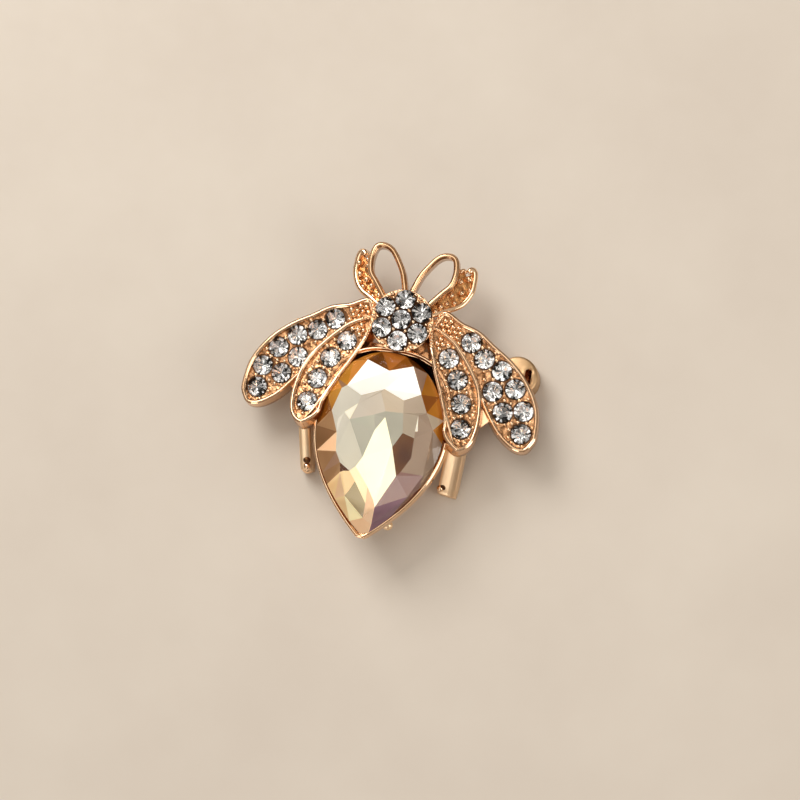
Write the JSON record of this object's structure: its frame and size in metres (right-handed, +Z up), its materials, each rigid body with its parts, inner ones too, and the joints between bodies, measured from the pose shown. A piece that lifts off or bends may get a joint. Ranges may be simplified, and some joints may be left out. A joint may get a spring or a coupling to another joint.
{
  "type": "insect brooch",
  "caption": "Gold-coloured insect brooch with clear stones in its wings and thorax, a large pear-cut stone as the abdomen, and a pin across the back.",
  "frame": {"origin": "on the surface that the brooch lies on, under the middle of its outline", "axes": "+X to the right wing seen from above with the head up, +Y to the head, +Z up out of the front"},
  "size_m": [0.0324, 0.0316, 0.0084],
  "materials": {
    "gold": "polished rose-gold plating",
    "gold_pin": "satin rose-gold plating",
    "champagne": "faceted champagne glass with a foiled back",
    "crystal": "faceted clear glass with a foiled back"
  },
  "bodies": {
    "root": {"casting": "gold", "pear_stone": "champagne", "pin_back": "gold_pin", "thorax_stone_1": "crystal", "thorax_stone_2": "crystal", "thorax_stone_3": "crystal", "thorax_stone_4": "crystal", "thorax_stone_5": "crystal", "thorax_stone_6": "crystal", "thorax_stone_7": "crystal", "left_outer_stone_1": "crystal", "left_outer_stone_2": "crystal", "left_outer_stone_3": "crystal", "left_outer_stone_4": "crystal", "left_outer_stone_5": "crystal", "left_outer_stone_6": "crystal", "left_outer_stone_7": "crystal", "left_outer_stone_8": "crystal", "right_outer_stone_1": "crystal", "right_outer_stone_2": "crystal", "right_outer_stone_3": "crystal", "right_outer_stone_4": "crystal", "right_outer_stone_5": "crystal", "right_outer_stone_6": "crystal", "right_outer_stone_7": "crystal", "right_outer_stone_8": "crystal", "left_inner_stone_1": "crystal", "left_inner_stone_2": "crystal", "left_inner_stone_3": "crystal", "left_inner_stone_4": "crystal", "right_inner_stone_1": "crystal", "right_inner_stone_2": "crystal", "right_inner_stone_3": "crystal", "right_inner_stone_4": "crystal"}
  },
  "joints": []
}
